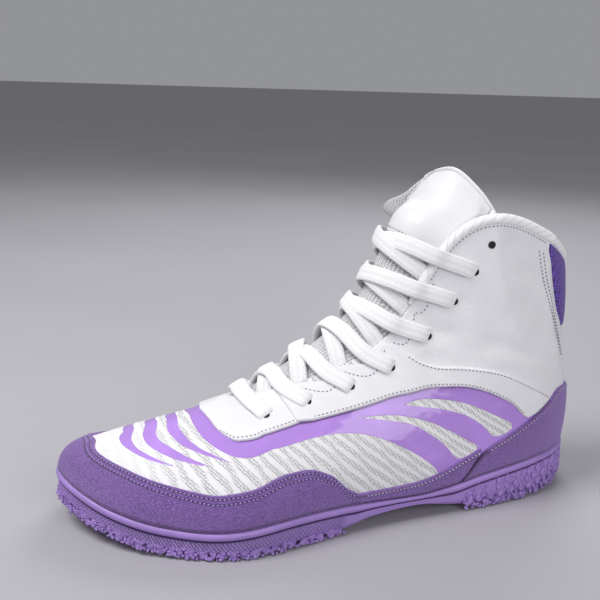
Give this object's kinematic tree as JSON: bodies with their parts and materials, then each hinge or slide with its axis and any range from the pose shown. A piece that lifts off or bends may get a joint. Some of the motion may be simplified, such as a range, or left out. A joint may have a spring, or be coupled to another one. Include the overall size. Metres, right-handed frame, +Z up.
{
  "type": "boxing shoe",
  "caption": "High-top boxing shoe in white leather and mesh with purple suede guards, flat white laces and a studded purple rubber sole.",
  "frame": {"origin": "on the floor under the middle of the sole's length and width", "axes": "+X to the toe, +Y to the outer side of the left foot, +Z up"},
  "size_m": [0.2875, 0.1047, 0.1772],
  "materials": {
    "purple_rubber": "matte",
    "foam": "matte",
    "white_upper": "satin",
    "purple_suede": "matte",
    "purple_knit": "matte",
    "white_textile": "matte"
  },
  "bodies": {
    "root": {"outsole": "purple_rubber", "insole": "foam", "upper": "white_upper", "toe_guard": "purple_suede", "heel_counter": "purple_suede", "waist_band_outer": "purple_suede", "waist_band_inner": "purple_suede", "heel_cushion": "purple_knit", "throat_tab": "white_upper", "eyestay_outer": "white_upper", "eyestay_inner": "white_upper", "collar_binding": "white_textile", "tongue": "white_textile", "lace_bar": "white_textile", "lace_crossing_1": "white_textile", "lace_crossing_2": "white_textile", "lace_crossing_3": "white_textile", "lace_crossing_4": "white_textile", "lace_crossing_5": "white_textile", "lace_crossing_6": "white_textile"}
  },
  "joints": []
}
